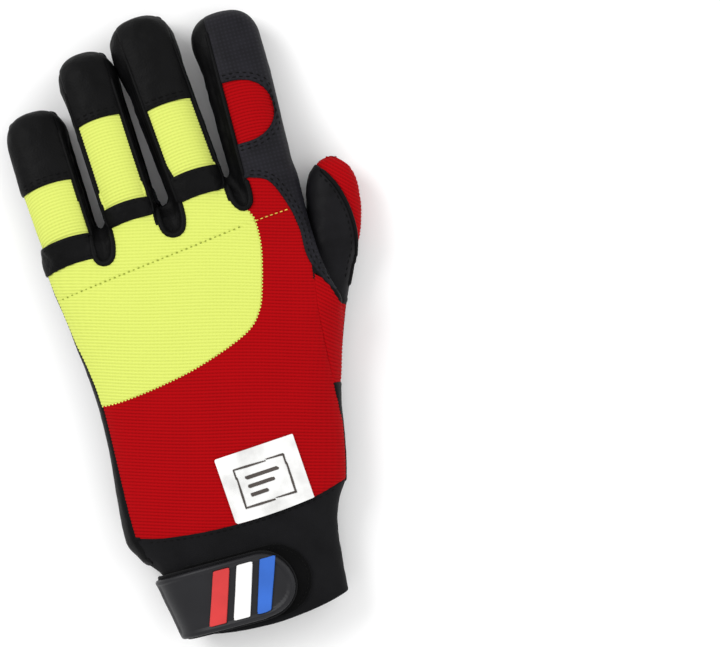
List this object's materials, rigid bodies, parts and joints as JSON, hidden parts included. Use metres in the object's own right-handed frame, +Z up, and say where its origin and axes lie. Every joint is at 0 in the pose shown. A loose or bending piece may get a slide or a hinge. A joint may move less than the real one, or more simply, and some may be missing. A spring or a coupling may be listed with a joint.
{
  "type": "chainsaw glove",
  "caption": "Left-hand chainsaw work glove with stretch back, leather palm, padded fingers, open cuff and hook-and-loop wrist strap, lying on its palm.",
  "frame": {"origin": "under the middle of the glove's box, on the surface that it lies on", "axes": "+Y from the cuff to the fingertips, +X towards the thumb, +Z up from the palm to the back of the hand"},
  "size_m": [0.1412, 0.2654, 0.036],
  "materials": {
    "red_fabric": "ribbed stretch knit",
    "yellow_fabric": "ribbed stretch knit, high visibility",
    "black_leather": "soft full-grain leather",
    "grey_synthetic": "woven-look synthetic leather",
    "black_neoprene": "knit-faced neoprene",
    "black_rubber": "satin moulded rubber",
    "red_rubber": "satin moulded rubber",
    "white_rubber": "satin moulded rubber",
    "blue_rubber": "satin moulded rubber",
    "label_cloth": "smooth white label cloth"
  },
  "bodies": {
    "root": {"cuff": "black_neoprene", "knuckle_band_little": "black_leather", "stretch_window_little": "yellow_fabric", "fingertip_cap_little": "black_leather", "knuckle_band_ring": "black_leather", "stretch_window_ring": "yellow_fabric", "fingertip_cap_ring": "black_leather", "knuckle_band_middle": "black_leather", "stretch_window_middle": "yellow_fabric", "fingertip_cap_middle": "black_leather", "index_wrap": "grey_synthetic", "stretch_window_index": "red_fabric", "index_crease_tip": "black_leather", "index_crease_base": "black_leather", "thumb_back": "red_fabric", "thumb_leather": "black_leather", "thumb_gusset": "red_fabric", "fourchette_little_ring": "black_leather", "fourchette_ring_middle": "black_leather", "fourchette_middle_index": "black_leather", "bright_panel": "yellow_fabric", "back_panel": "red_fabric", "palm_leather": "black_leather", "pad_upper_palm": "grey_synthetic", "pad_hypothenar": "grey_synthetic", "pad_thenar": "grey_synthetic", "pad_tip_little": "grey_synthetic", "pad_tip_ring": "grey_synthetic", "pad_middle_ring": "grey_synthetic", "pad_tip_middle": "grey_synthetic", "pad_middle_middle": "grey_synthetic", "pad_tip_thumb": "grey_synthetic", "loop_tape": "black_neoprene", "wrist_strap": "black_neoprene", "strap_badge": "black_rubber", "badge_bar_red": "red_rubber", "badge_bar_white": "white_rubber", "badge_bar_blue": "blue_rubber", "label": "label_cloth"}
  },
  "joints": []
}
